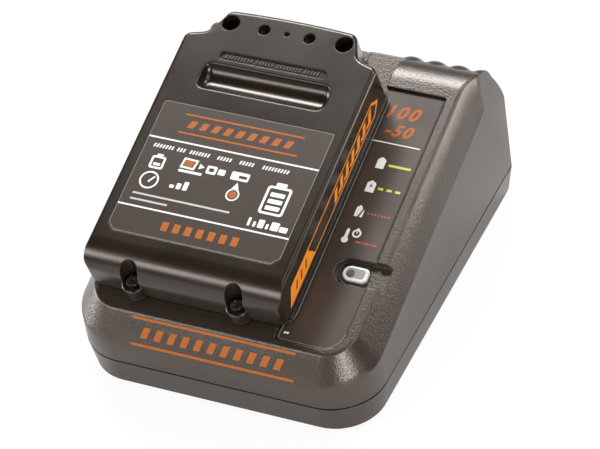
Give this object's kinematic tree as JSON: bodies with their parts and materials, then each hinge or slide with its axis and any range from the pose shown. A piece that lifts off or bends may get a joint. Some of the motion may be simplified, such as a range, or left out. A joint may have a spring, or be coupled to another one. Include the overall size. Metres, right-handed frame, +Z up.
{
  "type": "battery charger",
  "caption": "Wedge-shaped desktop charger with a sloping dock, a block-shaped tool battery slid into it, and a raised status panel beside the battery.",
  "frame": {"origin": "under the middle of the charger case, on the plane that its feet stand on", "axes": "+Y from the user's edge of the charger towards its back wall, +Z up, +X to the right towards the status panel"},
  "size_m": [0.114, 0.1354, 0.0815],
  "materials": {
    "case_plastic": "fine spark-eroded texture, warm dark grey-brown",
    "panel_plastic": "smooth satin panel with printed pictures",
    "lens_plastic": "polished milky light pipe",
    "led_epoxy": "clear moulded resin",
    "board_laminate": "green laminate with a satin mask",
    "core_ferrite": "sintered ferrite with varnished winding",
    "can_aluminium": "drawn cans, satin",
    "sink_aluminium": "extruded, mill finish",
    "gland_rubber": "moulded, matt",
    "screw_steel": "zinc plated, dulled",
    "foot_rubber": "moulded, matt",
    "block_plastic": "glass-filled, fine texture",
    "contact_brass": "plain, lightly tarnished",
    "pack_plastic": "smoother and glossier than the case",
    "label_film": "satin printed film",
    "orange_film": "satin printed film",
    "base_plastic": "fine moulded texture",
    "cell_sleeve": "shrunk sleeve",
    "strap_nickel": "nickel strip, bright",
    "latch_plastic": "fine moulded texture",
    "spring_steel": "music wire, bright"
  },
  "bodies": {
    "charger": {"base_tray": "case_plastic", "top_housing": "case_plastic", "status_panel": "panel_plastic", "indicator_lens": "lens_plastic", "indicator_led": "led_epoxy", "circuit_board": "board_laminate", "transformer": "core_ferrite", "capacitors": "can_aluminium", "heat_sink": "sink_aluminium", "cord_gland": "gland_rubber", "case_screws": "screw_steel", "rubber_feet": "foot_rubber", "contact_block": "block_plastic", "contact_blades": "contact_brass"},
    "pack": {"pack_cover": "pack_plastic", "pack_label": "label_film", "side_label_left": "orange_film", "side_label_right": "orange_film", "front_pack_screws": "screw_steel", "rear_pack_screws": "screw_steel", "pack_base": "base_plastic", "cell_straps": "strap_nickel", "pack_board": "board_laminate", "pack_contacts": "contact_brass", "latch_spring": "spring_steel", "cell_1": "cell_sleeve", "cell_2": "cell_sleeve", "cell_3": "cell_sleeve", "cell_4": "cell_sleeve", "cell_5": "cell_sleeve"},
    "latch": {"latch_button": "latch_plastic"}
  },
  "joints": [
    {"name": "pack_slide", "type": "slide", "parent": "charger", "child": "pack", "axis": [0, 0.9641, 0.2656], "range_m": [0, 0.12]},
    {"name": "latch_press", "type": "slide", "parent": "pack", "child": "latch", "axis": [0, -0.2656, 0.9641], "range_m": [0, 0.003], "stiffness_N_per_m": 800, "deforming": ["latch_spring"]}
  ]
}
